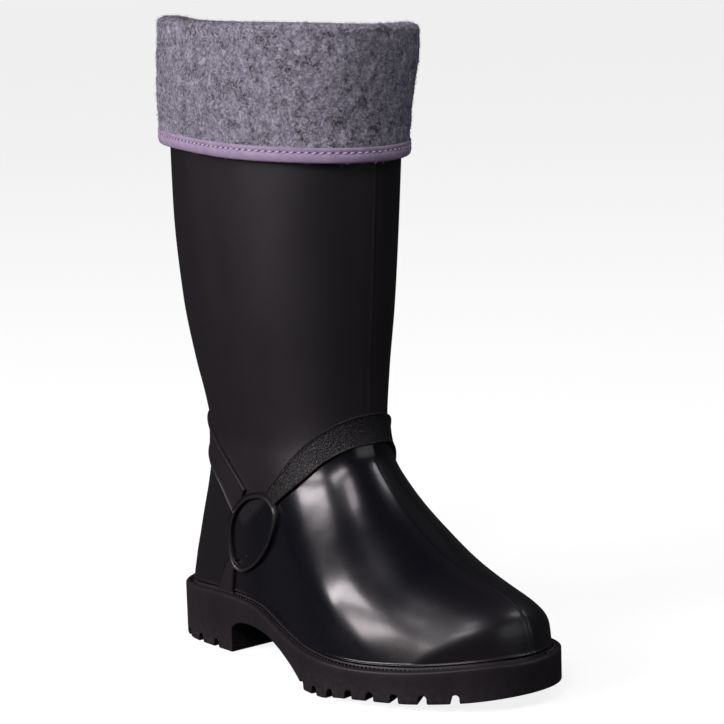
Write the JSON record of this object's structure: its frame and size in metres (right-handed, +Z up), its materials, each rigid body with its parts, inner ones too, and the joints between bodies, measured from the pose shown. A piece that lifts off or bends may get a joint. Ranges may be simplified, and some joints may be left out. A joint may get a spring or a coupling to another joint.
{
  "type": "winter boot",
  "caption": "Knee-length moulded winter boot for the right foot, with a raised ankle harness, a cleated sole with heel and a felt sock turned down over the collar as a bound cuff.",
  "frame": {"origin": "On the floor under the middle of the heel's tread, where the boot rests", "axes": "+Z up, toe towards -Y, outer side of the foot towards -X, inner side towards +X"},
  "size_m": [0.1196, 0.2737, 0.3667],
  "materials": {
    "moulded_body": "black moulded PVC, glossy on the foot and satin up the shaft, fine leather grain on the raised straps",
    "moulded_sole": "black moulded sole, satin, with ribbed welt and cleats",
    "felt": "mottled grey needled wool felt, fibrous and matte",
    "sole_felt": "grey felt sole piece, matte",
    "tape": "lilac woven binding tape, matte"
  },
  "bodies": {
    "root": {"upper": "moulded_body", "outsole": "moulded_sole", "liner": "felt", "insole": "sole_felt", "cuff_binding": "tape"}
  },
  "joints": []
}
